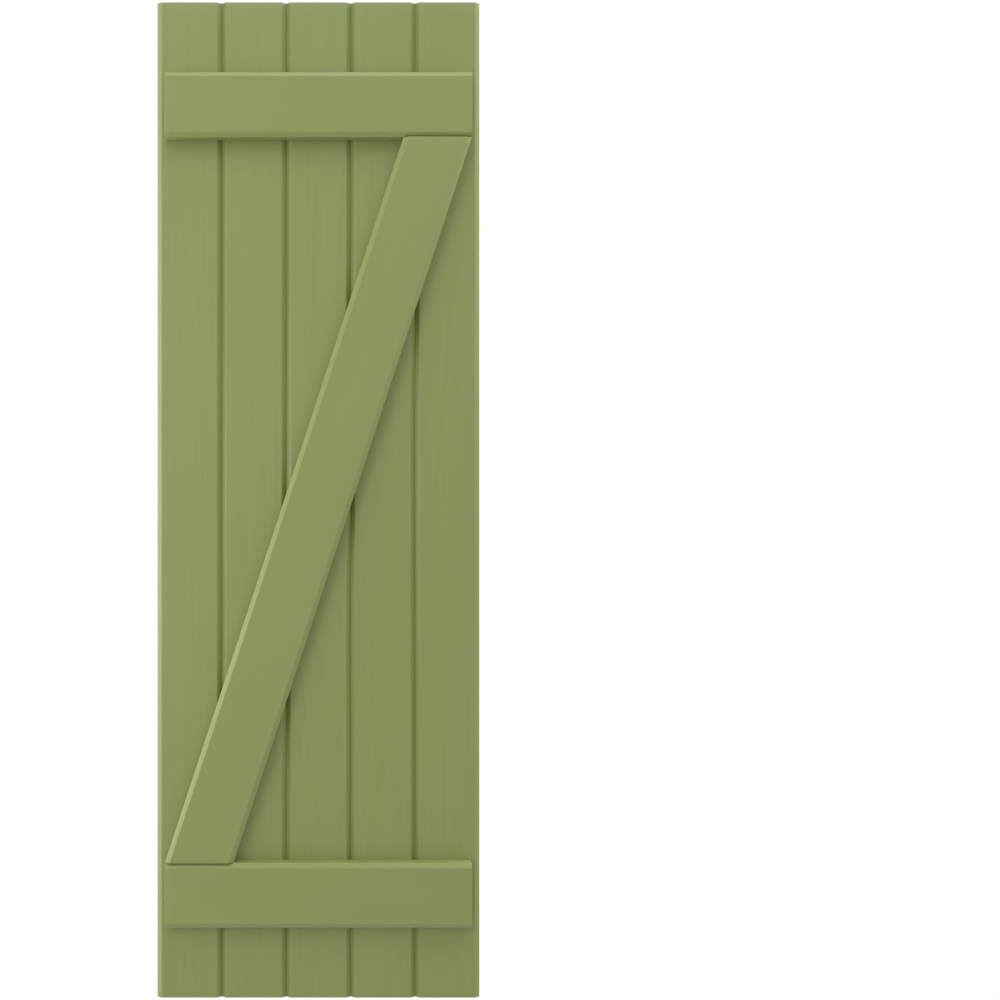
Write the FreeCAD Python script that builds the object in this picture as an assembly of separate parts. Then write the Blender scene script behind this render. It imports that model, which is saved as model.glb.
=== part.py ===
import FreeCAD, Part
import math
import os

from FreeCAD import Vector

# Board and batten shutter, in millimetres. The front faces -Y, +X runs to the right as seen
# from the front, and +Z runs up. The origin is in the middle of the back face.

# Boards, which stand side by side and touch edge to edge
board_count = 5
board_width = 88.9
board_thickness = 19.05
board_height = 1371.6

# Battens, which cross the boards near the top and the bottom
batten_width = 88.9
batten_thickness = 19.05
batten_side_inset = 12.7  # bare board beside each end of a batten
batten_end_inset = 101.6  # bare board beyond each batten

# Brace, which rises from the left end of the bottom batten to the right end of the top one
brace_width = 88.9
brace_thickness = 19.05

# Long edges
chamfer_width = 6.35  # of the chamfers along the front edges, seen from the front
chamfer_depth = 4.0
back_chamfer = 1.6  # leg of the easing along the back edges of the boards

# Countersunk wood screws, driven from the back
screw_diameter = 4.2
screw_head_diameter = 8.4
screw_head_angle = 82.0  # included angle of the cone under the head
screw_sink = 0.4  # depth of the head below the back face
screw_cover = 6.35  # wood left between the tip of a screw and the front face
screw_tip = 5.0
drive_width = 2.8  # square recess in the head
drive_depth = 1.9
shank_clearance = 0.15  # between the shank and the hole through the board

# Screw places
screw_edge_distance = 22.2  # from the sides of the two pieces that a screw joins
brace_end_distance = 31.75  # from a batten to the first screw at that end of the brace
brace_end_pitch = 50.8  # from that screw to the next one

cut_overrun = 1.0  # how far a cutter reaches past the face that it cuts

# Sizes that follow from those above
shutter_width = board_count * board_width
batten_length = shutter_width - 2 * batten_side_inset
batten_middle = board_height / 2 - batten_end_inset - batten_width / 2
brace_rise = 2 * batten_middle - batten_width  # between the two battens
brace_lean = (
    math.acos(brace_width / math.hypot(batten_length, brace_rise)) - math.atan2(brace_rise, batten_length)
)  # from upright, so that both ends of the brace line up with the ends of the battens
head_slope = math.tan(math.radians(screw_head_angle / 2))


def board_middle(index):
    return (index + 0.5) * board_width - shutter_width / 2


def edge_section(width, thickness, back_leg):
    # Section of a board, as pairs of place across and depth, with its front edges chamfered
    half = width / 2
    right_side = [
        (half - back_leg, 0),
        (half, back_leg),
        (half, thickness - chamfer_depth),
        (half - chamfer_width, thickness),
    ]
    if back_leg == 0:
        right_side = right_side[1:]
    return right_side + [(-across, depth) for across, depth in reversed(right_side)]


def prism(points, run):
    return Part.Face(Part.makePolygon(points + points[:1])).extrude(run)


def turned(profile, x, z):
    # Solid of revolution about an axis along Y, from pairs of radius and depth below the back face
    points = [Vector(radius, -depth, 0) for radius, depth in profile]
    solid = Part.Face(Part.makePolygon(points + points[:1])).revolve(Vector(), Vector(0, 1, 0), 360)
    solid.translate(Vector(x, 0, z))
    return solid


def make_board(index):
    section = edge_section(board_width, board_thickness, back_chamfer)
    points = [Vector(across, -depth, -board_height / 2) for across, depth in section]
    board = prism(points, Vector(0, 0, board_height))
    board.translate(Vector(board_middle(index), 0, 0))
    return board


def make_batten(middle):
    section = edge_section(batten_width, batten_thickness, 0)
    points = [
        Vector(-batten_length / 2, -board_thickness - depth, middle + across) for across, depth in section
    ]
    return prism(points, Vector(batten_length, 0, 0))


def make_brace():
    # A bar that is longer than needed leans over, and is cut level along both battens
    section = edge_section(brace_width, brace_thickness, 0)
    reach = math.hypot(batten_length, brace_rise) / 2 + brace_width
    points = [Vector(across, -board_thickness - depth, -reach) for across, depth in section]
    bar = prism(points, Vector(0, 0, 2 * reach))
    bar.rotate(Vector(), Vector(0, 1, 0), math.degrees(brace_lean))
    depth = board_thickness + brace_thickness + cut_overrun
    between = Part.makeBox(4 * reach, depth, brace_rise, Vector(-2 * reach, -depth, -brace_rise / 2))
    return bar.common(between)


def screw_body(x, z, tip_depth):
    shank = screw_diameter / 2
    head = screw_head_diameter / 2
    neck_depth = screw_sink + (head - shank) / head_slope
    profile = [
        (0, screw_sink),
        (head, screw_sink),
        (shank, neck_depth),
        (shank, tip_depth - screw_tip),
        (0, tip_depth),
    ]
    return turned(profile, x, z)


def make_screw(x, z, tip_depth):
    drive = Part.makeBox(
        drive_width,
        drive_depth + cut_overrun,
        drive_width,
        Vector(x - drive_width / 2, -screw_sink - drive_depth, z - drive_width / 2),
    )
    return screw_body(x, z, tip_depth).cut(drive)


def board_hole(x, z):
    # Countersunk hole right through a board, with room for the shank
    bore = screw_diameter / 2 + shank_clearance
    mouth = screw_head_diameter / 2 + (screw_sink + cut_overrun) * head_slope
    bore_depth = (mouth - bore) / head_slope - cut_overrun
    far_side = board_thickness + cut_overrun
    profile = [
        (0, -cut_overrun),
        (mouth, -cut_overrun),
        (bore, bore_depth),
        (bore, far_side),
        (0, far_side),
    ]
    return turned(profile, x, z)


def batten_screw_places(middle):
    # Two screws for each board, at opposite corners of the area where it meets the batten
    row = batten_width / 2 - screw_edge_distance
    places = []
    for index in range(board_count):
        left = max(board_middle(index) - board_width / 2, -batten_length / 2)
        right = min(board_middle(index) + board_width / 2, batten_length / 2)
        places.append((left + screw_edge_distance, middle + row))
        places.append((right - screw_edge_distance, middle - row))
    return places


def brace_screw_places():
    # Two screws for each board: side by side across the brace on the inner boards, and one above
    # the other along its outer edge on the first and last boards
    row = brace_width / 2 - screw_edge_distance
    slope = math.tan(brace_lean)
    lower_end = []
    for distance in (brace_end_distance, brace_end_distance + brace_end_pitch):
        z = distance - brace_rise / 2
        lower_end.append((z * slope - row / math.cos(brace_lean), z))
    places = list(lower_end)
    for index in range(1, board_count - 1):
        x = board_middle(index)
        for side in (-row, row):
            places.append((x + side * math.cos(brace_lean), x / slope - side * math.sin(brace_lean)))
    return places + [(-x, -z) for x, z in reversed(lower_end)]


front_pieces = {
    "top_batten": (make_batten(batten_middle), batten_thickness, batten_screw_places(batten_middle)),
    "bottom_batten": (make_batten(-batten_middle), batten_thickness, batten_screw_places(-batten_middle)),
    "diagonal_brace": (make_brace(), brace_thickness, brace_screw_places()),
}

nodes = {}
holes = []
for piece_name, (piece, thickness, places) in front_pieces.items():
    tip_depth = board_thickness + thickness - screw_cover
    pilots = [screw_body(x, z, tip_depth) for x, z in places]
    nodes[piece_name] = piece.cut(pilots)
    for number, (x, z) in enumerate(places, 1):
        nodes[f"{piece_name}_screw_{number}"] = make_screw(x, z, tip_depth)
        holes.append(board_hole(x, z))

for index in range(board_count):
    board = make_board(index)
    own_holes = [hole for hole in holes if hole.BoundBox.intersect(board.BoundBox)]
    nodes[f"board_{index + 1}"] = board.cut(own_holes)

os.makedirs("parts", exist_ok=True)
for name, shape in nodes.items():
    shape.exportStep(f"parts/{name}.step")
    print(name, len(shape.Solids), shape.isValid(), round(shape.Volume, 1))
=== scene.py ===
import math

import bmesh
import bpy
import numpy as np
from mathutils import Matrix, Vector


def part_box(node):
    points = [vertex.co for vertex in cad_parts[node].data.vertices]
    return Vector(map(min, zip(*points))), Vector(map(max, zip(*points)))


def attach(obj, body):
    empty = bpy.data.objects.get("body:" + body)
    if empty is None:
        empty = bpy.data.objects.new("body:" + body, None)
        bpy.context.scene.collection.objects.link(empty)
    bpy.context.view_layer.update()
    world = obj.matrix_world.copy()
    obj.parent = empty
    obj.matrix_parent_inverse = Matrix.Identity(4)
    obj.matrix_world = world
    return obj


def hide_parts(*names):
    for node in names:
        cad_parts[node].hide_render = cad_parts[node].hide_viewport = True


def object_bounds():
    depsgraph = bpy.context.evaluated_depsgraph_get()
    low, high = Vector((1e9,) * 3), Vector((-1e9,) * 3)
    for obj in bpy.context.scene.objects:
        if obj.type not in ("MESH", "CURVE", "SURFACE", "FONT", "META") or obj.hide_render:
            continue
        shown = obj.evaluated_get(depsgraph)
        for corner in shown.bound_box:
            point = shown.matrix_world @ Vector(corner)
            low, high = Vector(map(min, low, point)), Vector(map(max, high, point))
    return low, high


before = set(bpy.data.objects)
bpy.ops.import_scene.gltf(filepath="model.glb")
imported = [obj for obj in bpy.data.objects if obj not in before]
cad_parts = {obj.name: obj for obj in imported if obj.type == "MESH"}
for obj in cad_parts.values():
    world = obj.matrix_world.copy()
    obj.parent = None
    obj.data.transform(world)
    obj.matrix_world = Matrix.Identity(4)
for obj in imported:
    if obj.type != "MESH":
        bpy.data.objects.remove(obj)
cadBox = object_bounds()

scene = bpy.context.scene
scene.view_settings.view_transform = "Standard"
mm = 0.001
print("frame loaded,", len(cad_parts), "nodes")


class Shade:  # a shader socket that takes Python's own operators
    def __init__(self, tree, socket=None):
        self.tree = tree
        self.socket = socket

    def node(self, kind, settings=None, inputs=None, out=0):
        made = self.tree.nodes.new(kind)
        for name, value in (settings or {}).items():
            setattr(made, name, value)
        for name, value in (inputs or {}).items():
            if isinstance(value, Shade):
                self.tree.links.new(value.socket, made.inputs[name])
            else:
                made.inputs[name].default_value = value
        return Shade(self.tree, made.outputs[out] if len(made.outputs) else None)

    def split(self, vector):
        parts = self.node("ShaderNodeSeparateXYZ", None, {"Vector": vector}).socket.node.outputs
        return [Shade(self.tree, part) for part in parts]

    def math(self, operation, *values):
        return self.node("ShaderNodeMath", {"operation": operation}, dict(enumerate(values)))

    def mix(self, factor, first, second):  # colours only
        return self.node("ShaderNodeMix", {"data_type": "RGBA"}, {0: factor, 6: first, 7: second}, 2)

    def remap(self, low, high, newLow, newHigh):  # smooth and clamped
        settings = {"interpolation_type": "SMOOTHSTEP"}
        return self.node("ShaderNodeMapRange", settings, {0: self, 1: low, 2: high, 3: newLow, 4: newHigh})

    def __add__(self, other):
        return self.math("ADD", self, other)

    def __radd__(self, other):
        return self.math("ADD", other, self)

    def __sub__(self, other):
        return self.math("SUBTRACT", self, other)

    def __rsub__(self, other):
        return self.math("SUBTRACT", other, self)

    def __mul__(self, other):
        return self.math("MULTIPLY", self, other)

    def __rmul__(self, other):
        return self.math("MULTIPLY", other, self)

    def __truediv__(self, other):
        return self.math("DIVIDE", self, other)

    def __rtruediv__(self, other):
        return self.math("DIVIDE", other, self)

    def __pow__(self, other):
        return self.math("POWER", self, other)

    def __rpow__(self, other):
        return self.math("POWER", other, self)


def linear(red, green, blue):  # a colour as a paint chart gives it, 0 to 255
    channels = [c / 255 for c in (red, green, blue)]
    return [c / 12.92 if c < 0.04045 else ((c + 0.055) / 1.055) ** 2.4 for c in channels] + [1.0]


def newMaterial(name):
    material = bpy.data.materials.new(name)
    material.use_nodes = True
    material.node_tree.nodes.clear()
    return material, Shade(material.node_tree)


def finishMaterial(tree, inputs):
    shader = tree.node("ShaderNodeBsdfPrincipled", None, inputs)
    tree.node("ShaderNodeOutputMaterial", None, {"Surface": shader})


# How the planks are machined: edges, softened corners and the mesh that carries the grain
planing = {
    "chamferWidth": 6.35 * mm,
    "chamferDepth": 4.0 * mm,
    "backEasing": 1.6 * mm,
    "corner": 0.3 * mm,
    "cornerSteps": 3,
    "endCorner": 0.25 * mm,
    "endBends": (90, 60, 30),  # degrees, from the end face to the sides
    "endRing": 0.1,  # share of an end face that keeps the rest of it flat
    "frontSpacing": 1.35 * mm,
    "edgeSpacing": 2.2 * mm,
    "backSpacing": 3.0 * mm,
    "lengthStep": 11 * mm,
    "relief": 0.035 * mm,  # depth of the soft early wood below the hard late wood
    "chamferRelief": 0.4,  # share of that depth on the chamfers
    "sharpAngle": 33,
}

# Satin paint over planed softwood. The grain follows each plank's own attribute.
paint = {
    "colour": linear(143, 154, 91),
    "deepColour": linear(137, 148, 85),
    "roughness": 0.42,
    "ringPitch": 4.6 * mm,
    "wander": (9 * mm, 160 * mm),  # this and the next four: size across and along the grain
    "fibre": (5.5 * mm, 260 * mm),
    "fineFibre": (1.375 * mm, 130 * mm),
    "patch": (70 * mm, 240 * mm),
    "peel": (1.4 * mm, 1.4 * mm),
    "wanderRings": 0.9,
    "lateWood": (0.1, 0.95),
    "streakShares": (0.7, 0.3),  # of the fibres and the fine fibres
    "tone": 0.3,
    "patchTone": 0.8,
    "streakTone": 1.3,
    "ringTone": 0.22,
    "patchGloss": 0.1,
    "streakGloss": 0.16,
    "fibreHeight": 0.04 * mm,
    "peelHeight": 0.002 * mm,
}

# Painted shade: darker paint in the grooves between the boards and where the brace meets the battens,
# standing in for the shade that falls there
paintedShade = {
    "colour": linear(111, 122, 46),
    "groove": (0.62, 1.02),  # where it starts to fade and ends, in widths of a chamfer
    "grooveFloor": 0.5 * mm,
    "braceSide": 1.0 * mm,
}


def stretchedNoise(tree, grain, size, detail):
    across, along = size
    scale = [1 / across, 1 / across, 1 / along]
    place = tree.node("ShaderNodeVectorMath", {"operation": "MULTIPLY"}, {0: grain, 1: scale})
    return tree.node("ShaderNodeTexNoise", None, {"Vector": place, "Scale": 1.0, "Detail": detail}, "Fac")


def boardGrooveShade(tree, pitch, count, floor):  # painted shade: 1 in the grooves between the boards, and 0 on their faces
    across, depth = tree.split(tree.node("ShaderNodeTexCoord", None, None, "Object"))[:2]
    lane = across / pitch + count / 2
    joint = tree.math("MINIMUM", tree.math("MAXIMUM", tree.math("ROUND", lane), 1), count - 1)
    gap = tree.math("ABSOLUTE", lane - joint) * pitch
    start, end = (planing["chamferWidth"] * share for share in paintedShade["groove"])
    front = depth.remap(-floor, paintedShade["grooveFloor"] - floor, 1.0, 0.0)
    return gap.remap(start, end, 1.0, 0.0) * front


def braceJointShade(tree, edge, lean, half):  # painted shade: 1 where a batten meets the end of the brace
    across, _, up = tree.split(tree.node("ShaderNodeTexCoord", None, None, "Object"))
    gap = tree.math("ABSOLUTE", up) - edge
    side = tree.math("ABSOLUTE", across * math.cos(lean) - up * math.sin(lean))
    beside = side.remap(half - paintedShade["braceSide"], half, 1.0, 0.0)
    return gap.remap(0.0, planing["chamferWidth"], 1.0, 0.0) * beside


def paintedWood(name, grainShare, shadeMask=None):  # the last argument adds the nodes of a mask for painted shade, darker paint where pieces meet
    material, tree = newMaterial(name)
    grain = tree.node("ShaderNodeAttribute", {"attribute_name": "grain"}, None, "Vector")
    heartX, heartY = tree.split(grain)[:2]
    wander = stretchedNoise(tree, grain, paint["wander"], 2.0)
    ring = (heartX * heartX + heartY * heartY) ** 0.5 / paint["ringPitch"] + wander * paint["wanderRings"]
    lateWood = tree.math("COSINE", ring * math.tau).remap(*paint["lateWood"], 0.0, 1.0)
    fibre = stretchedNoise(tree, grain, paint["fibre"], 3.0)
    fine = stretchedNoise(tree, grain, paint["fineFibre"], 2.0)
    patch = stretchedNoise(tree, grain, paint["patch"], 2.0)
    peel = stretchedNoise(tree, grain, paint["peel"], 1.0)
    fibreShare, fineShare = paint["streakShares"]
    streak = (fibre - 0.5) * fibreShare + (fine - 0.5) * fineShare
    grainTone = streak * (paint["streakTone"] * grainShare) + lateWood * (paint["ringTone"] * grainShare)
    tone = tree.math("MINIMUM", (patch - 0.5) * paint["patchTone"] + grainTone + paint["tone"], 1.0)
    colour = tree.mix(tone, paint["colour"], paint["deepColour"])
    if shadeMask:
        # painted shade: the mask darkens the paint towards a shade colour in the grooves and at the brace's
        # ends
        colour = tree.mix(shadeMask(tree), colour, paintedShade["colour"])
    gloss = (patch - 0.5) * paint["patchGloss"] + streak * (paint["streakGloss"] * grainShare)
    height = streak * (paint["fibreHeight"] * grainShare) + peel * paint["peelHeight"]
    bump = tree.node("ShaderNodeBump", None, {"Strength": 1.0, "Distance": 1.0, "Height": height}, "Normal")
    finishMaterial(tree, {
        "Base Color": colour,
        "Roughness": paint["roughness"] + gloss,
        "Normal": bump,
    })
    return material


def softCorner(corner, before, after, radius):  # points and normals round one corner of a section
    bisector = before + after
    bisector = bisector / np.linalg.norm(bisector)
    centre = corner - bisector * radius / np.dot(bisector, before)
    turn = math.acos(np.clip(np.dot(before, after), -1, 1))
    steps = planing["cornerSteps"]
    for step in range(steps + 1):
        share = step / steps
        normal = (math.sin((1 - share) * turn) * before + math.sin(share * turn) * after) / math.sin(turn)
        yield centre + normal * radius, normal


class Section:  # outline of a plank across its length: points, outward normals and share of grain relief
    def __init__(self, corners, radius, spacings, reliefs):
        self.points = []
        self.normals = []
        self.relief = []
        corners = [np.array(corner) for corner in corners]
        count = len(corners)
        edges = [corners[(i + 1) % count] - corners[i] for i in range(count)]
        outward = [np.array((edge[1], -edge[0])) / np.linalg.norm(edge) for edge in edges]
        rounds = [list(softCorner(corners[i], outward[i - 1], outward[i], radius)) for i in range(count)]
        for i in range(count):
            for point, normal in rounds[i]:
                self.add(point, normal, (reliefs[i - 1] + reliefs[i]) / 2)
            start = rounds[i][-1][0]
            end = rounds[(i + 1) % count][0][0]
            pieces = max(1, round(np.linalg.norm(end - start) / spacings[i]))
            for step in range(1, pieces):
                self.add(start + (end - start) * step / pieces, outward[i], reliefs[i])
        self.points = np.array(self.points)
        self.normals = np.array(self.normals)
        self.relief = np.array(self.relief)

    def add(self, point, normal, relief):
        self.points.append(point)
        self.normals.append(normal)
        self.relief.append(relief)


def plankSection(width, thickness, easing):
    half = width / 2
    fine = planing["frontSpacing"]
    edge = planing["edgeSpacing"]
    back = planing["backSpacing"]
    bevel = planing["chamferRelief"]
    right = [(half, thickness - planing["chamferDepth"]), (half - planing["chamferWidth"], thickness)]
    if easing:  # a board, whose back shows
        right = [(half - easing, 0), (half, easing)] + right
        spacings = [edge, edge, edge, fine, edge, edge, edge, back]
        reliefs = [0, 0, bevel, 1, bevel, 0, 0, 1]
    else:
        right = [(half, 0)] + right
        spacings = [edge, edge, fine, edge, edge, back]
        reliefs = [0, bevel, 1, bevel, 0, 0]
    left = [(-across, depth) for across, depth in reversed(right)]
    return Section(right + left, planing["corner"], spacings, reliefs)


def plankStations(length):  # share of the length, offset along it and inset of the section
    corner = planing["endCorner"]
    bends = [math.radians(angle) for angle in planing["endBends"]]
    ends = [(corner * (1 - math.sin(bend)), corner * (1 - math.cos(bend))) for bend in bends]
    steps = max(2, round(length / planing["lengthStep"]))
    stations = [(0, offset, inset) for offset, inset in ends]
    stations += [(i / steps, corner * (1 - 2 * i / steps), 0) for i in range(steps + 1)]
    return stations + [(1, -offset, inset) for offset, inset in reversed(ends)]


# How the wood grew. Each plank draws its own values from these ranges.
growth = {
    "apart": 3.0,  # between the planks' places in the noise
    "heartAcross": (-30 * mm, 30 * mm),
    "heartBehind": (35 * mm, 60 * mm),
    "taper": (0.012, 0.022),
    "sways": 3,
    "swayRate": (2, 6),
    "swaySize": (1.5 * mm, 4 * mm),
    "swayDepth": 0.6,
}


class Timber:  # one plank's own growth: where the heart of the tree lay, along its length
    def __init__(self, seed):
        draw = np.random.RandomState(seed)
        self.offset = growth["apart"] * seed
        self.heartAcross = draw.uniform(*growth["heartAcross"])
        self.heartBehind = draw.uniform(*growth["heartBehind"])
        self.taper = draw.choice([-1, 1]) * draw.uniform(*growth["taper"])
        self.sways = []
        for _ in range(growth["sways"]):
            rate = draw.uniform(*growth["swayRate"])
            phase = draw.uniform(0, math.tau)
            self.sways.append((rate, phase, draw.uniform(*growth["swaySize"])))

    def grain(self, across, depth, along):
        sway = sum(size * np.sin(along * rate + phase) for rate, phase, size in self.sways)
        behind = self.heartBehind + self.taper * along + growth["swayDepth"] * sway
        return np.stack([across - self.heartAcross - sway, depth + behind, along + self.offset], -1)

    def hollow(self, across, depth, along):  # how far the early wood lies below the late wood, from 0 to 1
        grain = self.grain(across, depth, along)
        ring = np.hypot(grain[..., 0], grain[..., 1]) / paint["ringPitch"]
        return 1 - (0.5 + 0.5 * np.cos(ring * math.tau)) ** 2


def turnOutward(mesh):
    shell = bmesh.new()
    shell.from_mesh(mesh)
    bmesh.ops.recalc_face_normals(shell, faces=shell.faces)
    shell.to_mesh(mesh)
    shell.free()


def skin(name, places):  # closed mesh round rows of places, one row for each station
    rims = places[[0, -1]]
    middles = rims.mean(1)
    inner = rims + (middles[:, None] - rims) * planing["endRing"]
    places = np.concatenate([inner[:1], places, inner[1:]])
    rows, columns = places.shape[:2]
    numbers = np.arange(rows * columns).reshape(rows, columns)
    beside = np.roll(numbers, -1, 1)
    sides = np.stack([numbers[:-1], beside[:-1], beside[1:], numbers[1:]], -1).reshape(-1, 4)
    fans = [(a, b, rows * columns) for a, b in zip(numbers[0], beside[0])]
    fans += [(b, a, rows * columns + 1) for a, b in zip(numbers[-1], beside[-1])]
    mesh = bpy.data.meshes.new(name)
    mesh.from_pydata(np.concatenate([places.reshape(-1, 3), middles]), [], sides.tolist() + fans)
    turnOutward(mesh)
    return mesh


class Plank:
    def __init__(self, name, origin, acrossAxis, alongAxis, seed):
        self.name = name
        self.origin = np.array(origin)
        self.axes = np.array([acrossAxis, (0, -1, 0), alongAxis])
        self.timber = Timber(seed)

    def build(self, section, start, end, slope=0.0):  # slope: of the end faces, along by across
        stations = np.array(plankStations(end - start))
        share, offset, inset = (column[:, None] for column in stations.T)
        across = section.points[:, 0] - inset * section.normals[:, 0]
        depth = section.points[:, 1] - inset * section.normals[:, 1]
        along = start * (1 - share) + end * share + slope * across + offset
        sink = self.timber.hollow(across, depth, along) * section.relief * planing["relief"]
        across = across - sink * section.normals[:, 0]
        depth = depth - sink * section.normals[:, 1]
        places = np.stack([across, depth, along], -1) @ self.axes + self.origin
        self.piece = bpy.data.objects.new(self.name, skin(self.name, places))
        scene.collection.objects.link(self.piece)

    def drill(self, holes):  # holes: place of each screw and the profile of its hole
        cutter = bpy.data.objects.new("cutter", bpy.data.meshes.new("cutter"))
        cut = bmesh.new()
        for place, profile in holes:
            turnHole(cut, place, profile)
        bmesh.ops.recalc_face_normals(cut, faces=cut.faces)
        cut.to_mesh(cutter.data)
        cut.free()
        scene.collection.objects.link(cutter)
        boolean = self.piece.modifiers.new("holes", "BOOLEAN")
        boolean.object = cutter
        boolean.operation = "DIFFERENCE"
        boolean.solver = "EXACT"
        solid = self.piece.evaluated_get(bpy.context.evaluated_depsgraph_get())
        mesh = bpy.data.meshes.new_from_object(solid)
        self.piece.modifiers.clear()
        self.piece.data = mesh
        bpy.data.objects.remove(cutter)

    def dress(self, node, material):
        mesh = self.piece.data
        places = np.zeros(len(mesh.vertices) * 3)
        mesh.vertices.foreach_get("co", places)
        across, depth, along = ((places.reshape(-1, 3) - self.origin) @ self.axes.T).T
        attribute = mesh.attributes.new("grain", "FLOAT_VECTOR", "POINT")
        attribute.data.foreach_set("vector", self.timber.grain(across, depth, along).ravel())
        mesh.shade_smooth()
        mesh.set_sharp_from_angle(angle=math.radians(planing["sharpAngle"]))
        mesh.materials.clear()
        mesh.materials.append(material)
        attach(self.piece, "root")
        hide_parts(node)
        print("made", node, len(mesh.polygons), "faces")


# Countersunk screws, whose heads show at the back
screws = {
    "shank": 2.1 * mm,
    "tip": 5.0 * mm,
    "headAngle": 82,
    "clearance": 0.15 * mm,
    "overrun": 1.0 * mm,
    "holeSides": 28,
}


def turnHole(cut, place, profile):  # a closed solid of revolution about Y, with its ends on the axis
    x, z = place
    sides = screws["holeSides"]
    turns = [(math.cos(math.tau * i / sides), math.sin(math.tau * i / sides)) for i in range(sides)]
    rings = []
    for radius, depth in profile:
        if radius == 0:
            rings.append([cut.verts.new((x, -depth, z))])
        else:
            rings.append([cut.verts.new((x + radius * c, -depth, z + radius * s)) for c, s in turns])
    for ring, following in zip(rings, rings[1:]):
        for i in range(sides):
            j = (i + 1) % sides
            near = [ring[i % len(ring)], ring[j % len(ring)]]
            far = [following[j % len(following)], following[i % len(following)]]
            cut.faces.new(list(dict.fromkeys(near + far)))


class Screw:  # its holes are pairs of radius and depth behind the back face
    def __init__(self, node):
        low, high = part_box(node)
        self.place = ((low.x + high.x) / 2, (low.z + high.z) / 2)
        self.head = (high.x - low.x) / 2
        self.sink = -high.y
        self.tipDepth = -low.y

    def boardHole(self, thickness):
        slope = math.tan(math.radians(screws["headAngle"] / 2))
        over = screws["overrun"]
        bore = screws["shank"] + screws["clearance"]
        mouth = self.head + (self.sink + over) * slope
        boreDepth = (mouth - bore) / slope - over
        far = thickness + over
        return [(0, -over), (mouth, -over), (bore, boreDepth), (bore, far), (0, far)]

    def pilotHole(self):
        shank = screws["shank"]
        return [(0, 0), (shank, 0), (shank, self.tipDepth - screws["tip"]), (0, self.tipDepth)]


screwNodes = {name: Screw(name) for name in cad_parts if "_screw_" in name}


def pilotHoles(node):
    return [(screw.place, screw.pilotHole()) for name, screw in screwNodes.items() if name.startswith(node)]


# The upright boards
boards = {"seed": 11, "grainShare": 1.0, "shadeShare": 0.48, "slot": "board_paint"}


def makeBoards():
    names = sorted(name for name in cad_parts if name.startswith("board_"))
    low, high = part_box(names[0])
    pitch = high.x - low.x
    floor = high.y - low.y - planing["chamferDepth"]

    # painted shade in the grooves between the boards
    def shadeMask(tree):
        return boardGrooveShade(tree, pitch, len(names), floor) * boards["shadeShare"]

    material = paintedWood("boardPaint", boards["grainShare"], shadeMask)
    for number, node in enumerate(names):
        low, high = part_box(node)
        middle = (low.x + high.x) / 2
        width = high.x - low.x
        thickness = high.y - low.y
        plank = Plank(node + "_painted", (middle, high.y, 0), (1, 0, 0), (0, 0, 1), boards["seed"] + number)
        plank.build(plankSection(width, thickness, planing["backEasing"]), low.z, high.z)
        own = [screw for screw in screwNodes.values() if abs(screw.place[0] - middle) < width / 2]
        plank.drill([(screw.place, screw.boardHole(thickness)) for screw in own])
        plank.dress(node, material)


# The brace between the battens
brace = {"seed": 47, "grainShare": 0.3, "width": 88.9 * mm, "slot": "batten_paint"}


def braceLean():  # from upright
    low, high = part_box("diagonal_brace")
    run = high.x - low.x
    rise = high.z - low.z
    return math.acos(brace["width"] / math.hypot(run, rise)) - math.atan2(rise, run)


def makeBrace():
    material = paintedWood("bracePaint", brace["grainShare"])
    node = "diagonal_brace"
    low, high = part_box(node)
    sine = math.sin(braceLean())
    cosine = math.cos(braceLean())
    plank = Plank(node + "_painted", (0, high.y, 0), (cosine, 0, -sine), (sine, 0, cosine), brace["seed"])
    section = plankSection(brace["width"], high.y - low.y, 0)
    plank.build(section, low.z / cosine, high.z / cosine, sine / cosine)
    plank.drill(pilotHoles(node))
    plank.dress(node, material)


# The two battens across the boards
battens = {"seed": 31, "grainShare": 0.3, "shadeShare": 0.9, "slot": "batten_paint"}


def makeBattens():
    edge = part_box("diagonal_brace")[1].z

    # painted shade where the brace's ends meet the battens
    def shadeMask(tree):
        return braceJointShade(tree, edge, braceLean(), brace["width"] / 2) * battens["shadeShare"]

    material = paintedWood("battenPaint", battens["grainShare"], shadeMask)
    for number, node in enumerate(("top_batten", "bottom_batten")):
        low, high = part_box(node)
        middle = (low.z + high.z) / 2
        plank = Plank(node + "_painted", (0, high.y, middle), (0, 0, 1), (1, 0, 0), battens["seed"] + number)
        plank.build(plankSection(high.z - low.z, high.y - low.y, 0), low.x, high.x)
        plank.drill(pilotHoles(node))
        plank.dress(node, material)


# Zinc plate on the screws
zinc = {
    "bright": linear(165, 166, 164),
    "dull": linear(118, 120, 120),
    "roughness": 0.42,
    "spangle": 0.9 * mm,
    "spangleShare": 0.4,
    "grimeScale": 240.0,
    "grimeShare": 0.5,
    "grimeGloss": 0.3,
    "scratchScale": 2600.0,
    "scratchStrength": 0.4,
    "scratchDepth": 0.05 * mm,
}


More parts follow.
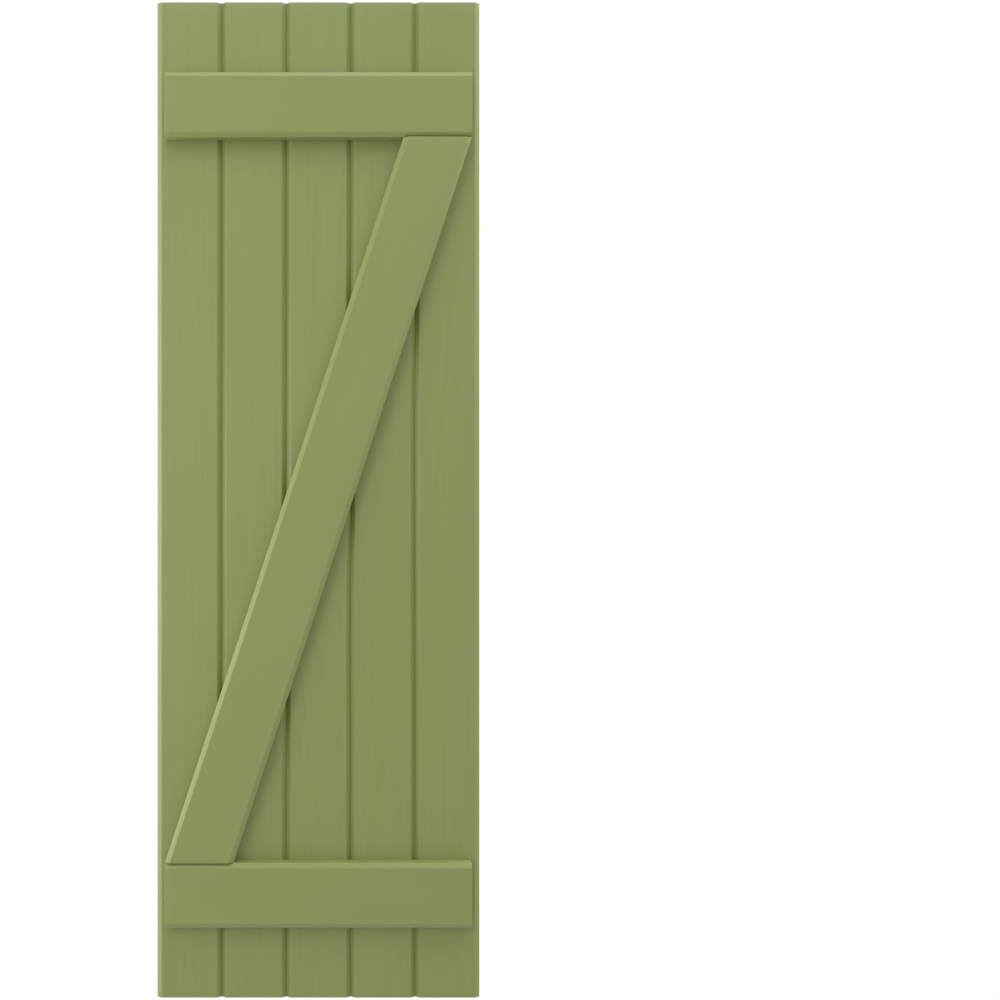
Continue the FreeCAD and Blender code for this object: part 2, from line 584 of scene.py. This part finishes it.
def zincPlate():
    material, tree = newMaterial("screwZinc")
    place = tree.node("ShaderNodeTexCoord", None, None, "Object")
    cells = tree.node("ShaderNodeTexVoronoi", None, {"Vector": place, "Scale": 1 / zinc["spangle"]}, "Color")
    shine = tree.node("ShaderNodeSeparateColor", None, {"Color": cells})
    grimeInputs = {"Vector": place, "Scale": zinc["grimeScale"], "Detail": 4.0}
    grime = tree.node("ShaderNodeTexNoise", None, grimeInputs, "Fac")
    scratchInputs = {"Vector": place, "Scale": zinc["scratchScale"], "Detail": 2.0}
    scratch = tree.node("ShaderNodeTexNoise", None, scratchInputs, "Fac")
    relief = {"Strength": zinc["scratchStrength"], "Distance": zinc["scratchDepth"], "Height": scratch}
    dulled = shine * zinc["spangleShare"] + grime * zinc["grimeShare"]
    finishMaterial(tree, {
        "Base Color": tree.mix(dulled, zinc["bright"], zinc["dull"]),
        "Metallic": 1.0,
        "Roughness": zinc["roughness"] + (grime - 0.5) * zinc["grimeGloss"],
        "Normal": tree.node("ShaderNodeBump", None, relief, "Normal"),
    })
    return material


def dressScrews():
    material = zincPlate()
    for name in screwNodes:
        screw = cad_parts[name]
        screw.data.materials.clear()
        screw.data.materials.append(material)
    print("dressed", len(screwNodes), "screws")


# A pale floor well below the shutter, which hangs on a wall at the height of a window
ground = {
    "drop": 1.3,
    "size": 40.0,
    "colour": linear(197, 197, 197),
    "shadowWhite": 0.6,  # share of plain white near the shutter, where the floor keeps its shadow
    "shadowReach": (0.8, 3.0),
}


def whiteRays(tree):  # rays that show the background: straight, mirrored or through glass
    straight = tree.node("ShaderNodeLightPath", None, None, "Is Camera Ray")
    rays = straight.socket.node.outputs
    glossy = Shade(tree.tree, rays["Is Glossy Ray"])
    through = Shade(tree.tree, rays["Is Transmission Ray"])
    return tree.math("MAXIMUM", tree.math("MAXIMUM", straight, glossy), through)


def makeFloor():
    half = ground["size"] / 2
    mesh = bpy.data.meshes.new("floor")
    corners = [(-half, -half, 0), (half, -half, 0), (half, half, 0), (-half, half, 0)]
    mesh.from_pydata(corners, [], [(0, 1, 2, 3)])
    material, tree = newMaterial("floorPaper")
    plain = tree.node("ShaderNodeBsdfDiffuse", None, {"Color": ground["colour"]})
    glow = tree.node("ShaderNodeEmission", None, {"Strength": 1.0})
    place = tree.node("ShaderNodeTexCoord", None, None, "Object")
    away = tree.node("ShaderNodeVectorMath", {"operation": "LENGTH"}, {0: place}, "Value")
    near, far = ground["shadowReach"]
    share = whiteRays(tree) * away.remap(near, far, ground["shadowWhite"], 1.0)
    blend = tree.node("ShaderNodeMixShader", None, {0: share, 1: plain, 2: glow})
    tree.node("ShaderNodeOutputMaterial", None, {"Surface": blend})
    mesh.materials.append(material)
    floor = bpy.data.objects.new("floor", mesh)
    floor.location.z = cadBox[0].z - ground["drop"]
    scene.collection.objects.link(floor)
    print("floor laid")


# Soft studio light: lamps all round, one of them nearer, and even light from the sky
lamps = {  # azimuth from straight in front to the right, elevation, distance, width, height and power
    "key": (-25, 55, 3.0, 1.2, 1.2, 9.8),
    "leftSoft": (-52, 2, 1.5, 1.3, 0.6, 6.0),
    "leftRim": (-98, 0, 3.0, 2.0, 3.4, 87),
    "rightSoft": (52, 55, 3.0, 1.2, 1.2, 15),
    "rightRim": (107, 25, 3.0, 2.0, 2.6, 74),
    "topSoft": (0, 80, 3.0, 1.2, 1.2, 10.2),
}
studio = {"sky": 0.615, "white": (1, 1, 1, 1)}


def makeLights():
    for name, (azimuth, elevation, distance, width, height, watts) in lamps.items():
        data = bpy.data.lights.new(name, "AREA")
        data.shape = "RECTANGLE"
        data.size = width
        data.size_y = height
        data.energy = watts
        light = bpy.data.objects.new(name, data)
        turn = math.radians(azimuth)
        rise = math.radians(elevation)
        aim = Vector((math.sin(turn) * math.cos(rise), -math.cos(turn) * math.cos(rise), math.sin(rise)))
        light.location = aim * distance
        light.rotation_euler = (-aim).to_track_quat("-Z", "Y").to_euler()
        scene.collection.objects.link(light)
    world = bpy.data.worlds.new("studio")
    world.use_nodes = True
    world.node_tree.nodes.clear()
    tree = Shade(world.node_tree)
    dim = tree.node("ShaderNodeBackground", None, {"Color": studio["white"], "Strength": studio["sky"]})
    white = tree.node("ShaderNodeBackground", None, {"Color": studio["white"], "Strength": 1.0})
    blend = tree.node("ShaderNodeMixShader", None, {0: whiteRays(tree), 1: dim, 2: white})
    tree.node("ShaderNodeOutputWorld", None, {"Surface": blend})
    scene.world = world
    print("lit by", len(lamps), "lamps and the sky")


# The camera stands level with the middle of the shutter, straight in front of it
shot = {
    "distance": 1.6634,
    "fieldOfView": 45.0,
    "sensor": 36,
    "frame": 1000,  # pixels, as is the middle of the shutter in it
    "middle": 318.43,
}


def makeCamera():
    data = bpy.data.cameras.new("camera")
    data.sensor_width = shot["sensor"]
    data.lens = data.sensor_width / 2 / math.tan(math.radians(shot["fieldOfView"] / 2))
    data.shift_x = 0.5 - shot["middle"] / shot["frame"]
    camera = bpy.data.objects.new("camera", data)
    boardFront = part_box("board_1")[0].y
    camera.location = (0, boardFront - shot["distance"], 0)
    camera.rotation_euler = (math.pi / 2, 0, 0)
    scene.collection.objects.link(camera)
    scene.camera = camera
    print("camera set")


makeBoards()
makeBattens()
makeBrace()
dressScrews()
makeFloor()
makeLights()
makeCamera()
